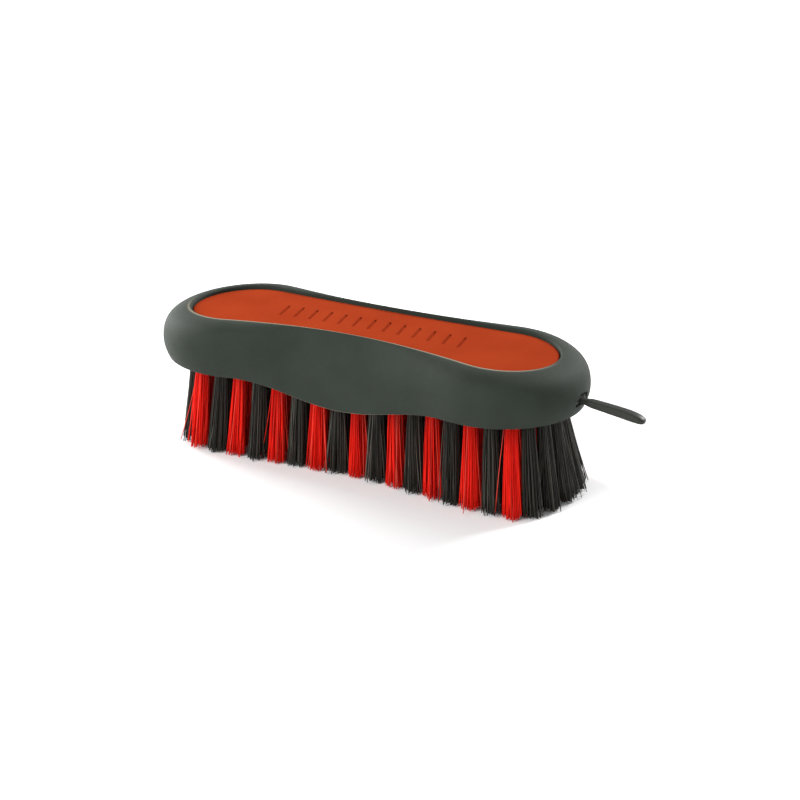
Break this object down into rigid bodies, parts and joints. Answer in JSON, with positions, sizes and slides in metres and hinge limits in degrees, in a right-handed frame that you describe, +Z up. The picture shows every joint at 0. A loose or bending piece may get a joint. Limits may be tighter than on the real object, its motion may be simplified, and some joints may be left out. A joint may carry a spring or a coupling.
{
  "type": "hoof brush with pick",
  "caption": "Waisted hoof brush: rubber-covered block with an orange-red top insert, alternating red and black bristle columns and a small swinging pick at one end.",
  "frame": {"origin": "on the middle line, midway between the two end circles, in the plane of the bristle tips that the brush stands on", "axes": "+X along the brush towards the pick, +Y across it, +Z up from the bristle tips to the back"},
  "size_m": [0.2173, 0.0712, 0.0617],
  "materials": {
    "block_plastic": "moulded black polypropylene, fine matt grain",
    "cover_rubber": "charcoal soft-touch rubber, matt with a soft sheen",
    "insert_plastic": "orange-red hard plastic, satin with a fine pebble grain",
    "pick_plastic": "dark grey moulded nylon, satin",
    "pin_steel": "plain drawn steel",
    "bristle_black": "extruded black synthetic filament, soft sheen",
    "bristle_red": "extruded red synthetic filament, soft sheen",
    "anchor_steel": "flat anchor wire"
  },
  "bodies": {
    "brush": {"bristle_block": "block_plastic", "grip_cover": "cover_rubber", "top_insert": "insert_plastic", "pick_pin": "pin_steel", "tuft_anchors": "anchor_steel", "tuft_column_01_black": "bristle_black", "tuft_column_02_red": "bristle_red", "tuft_column_03_black": "bristle_black", "tuft_column_04_red": "bristle_red", "tuft_column_05_black": "bristle_black", "tuft_column_06_red": "bristle_red", "tuft_column_07_black": "bristle_black", "tuft_column_08_red": "bristle_red", "tuft_column_09_black": "bristle_black", "tuft_column_10_red": "bristle_red", "tuft_column_11_black": "bristle_black", "tuft_column_12_red": "bristle_red", "tuft_column_13_black": "bristle_black", "tuft_column_14_red": "bristle_red", "tuft_column_15_black": "bristle_black", "tuft_column_16_red": "bristle_red", "tuft_column_17_black": "bristle_black", "tuft_column_18_red": "bristle_red", "tuft_column_19_black": "bristle_black"},
    "pick": {"hoof_pick": "pick_plastic"}
  },
  "joints": [
    {"name": "pick_swing", "type": "hinge", "parent": "brush", "child": "pick", "pos_m": [0.0926, 0, 0.0446], "axis": [0, -1, 0], "range_deg": [-15, 30]}
  ]
}
